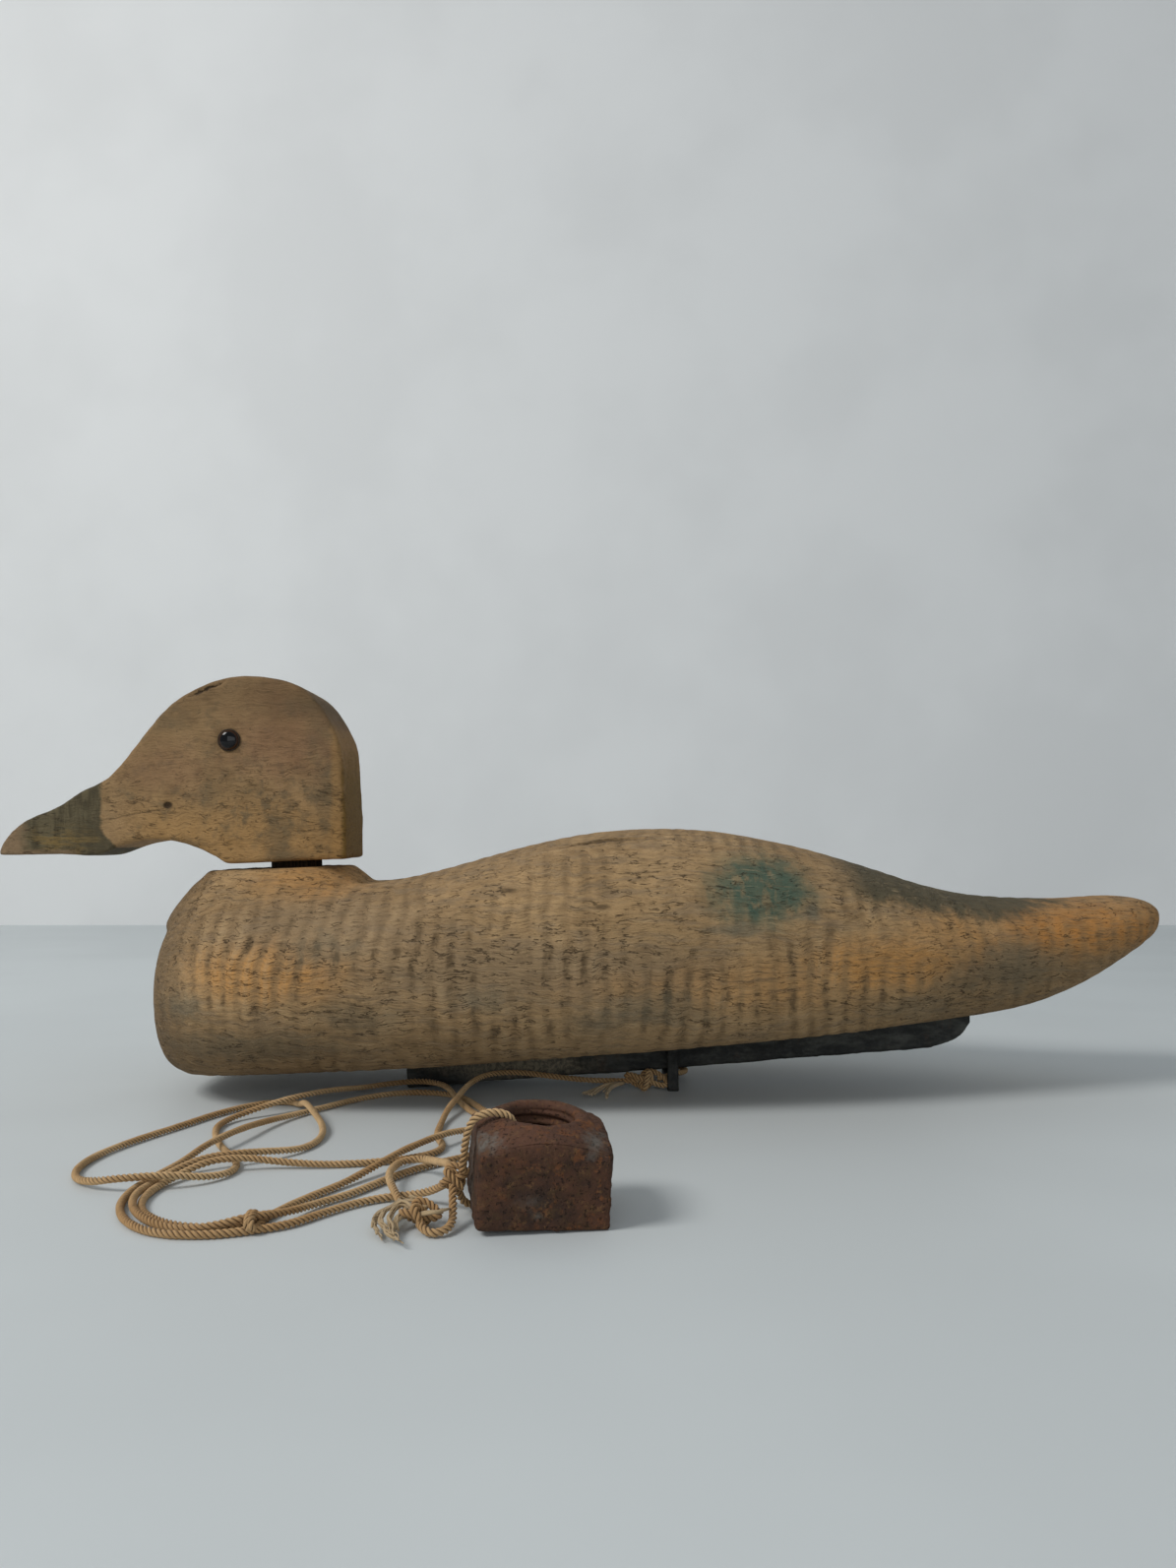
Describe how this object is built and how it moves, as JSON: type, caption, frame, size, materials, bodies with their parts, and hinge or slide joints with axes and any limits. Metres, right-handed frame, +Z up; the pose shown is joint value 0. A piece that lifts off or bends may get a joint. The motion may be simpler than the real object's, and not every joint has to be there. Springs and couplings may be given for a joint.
{
  "type": "floating duck decoy",
  "caption": "Carved wooden waterfowl decoy with a turning head on a dowel, an iron keel, and an anchor line tied to a square nut.",
  "frame": {"origin": "On the floor, midway between bill tip and tail tip, on the decoy's plane of symmetry.", "axes": "+X towards the tail (the decoy faces -X), +Y towards the decoy's right side, +Z up from the floor it stands on."},
  "size_m": [0.4359, 0.2613, 0.1516],
  "materials": {
    "body_wood": "weathered, worn paint",
    "head_wood": "weathered, worn paint",
    "dowel_wood": "dark, rough",
    "keel_iron": "rough, dark scale",
    "nail_steel": "rusted",
    "band_iron": "rough, dark scale",
    "nut_iron": "rusted",
    "cord_fibre": "twisted natural fibre",
    "eye_glass": "polished",
    "pupil_paint": "black enamel",
    "eye_wire": "dull"
  },
  "bodies": {
    "decoy": {"decoy_body": "body_wood", "keel": "keel_iron", "keel_nails": "nail_steel", "line_loop": "band_iron", "anchor_line": "cord_fibre", "line_hitch": "cord_fibre", "hitch_knot": "cord_fibre", "hitch_tail": "cord_fibre", "hank_knot": "cord_fibre", "nut_lashing": "cord_fibre", "nut_knot": "cord_fibre", "tail_loop": "cord_fibre", "tail_tassel": "cord_fibre", "short_tail": "cord_fibre", "tail_knot": "cord_fibre", "anchor_nut": "nut_iron"},
    "neck": {"neck_dowel": "dowel_wood"},
    "head": {"head": "head_wood", "eye_glass_left": "eye_glass", "eye_glass_right": "eye_glass", "eye_pupil_left": "pupil_paint", "eye_pupil_right": "pupil_paint", "eye_wire_left": "eye_wire", "eye_wire_right": "eye_wire"}
  },
  "joints": [
    {"name": "head_swivel", "type": "hinge", "parent": "decoy", "child": "neck", "pos_m": [-0.1068, 0, 0.0815], "axis": [-0.0366, 0, 0.9993], "range_deg": [-150, 150]},
    {"name": "head_lift", "type": "slide", "parent": "neck", "child": "head", "axis": [-0.0366, 0, 0.9993], "range_m": [0, 0.028]}
  ]
}
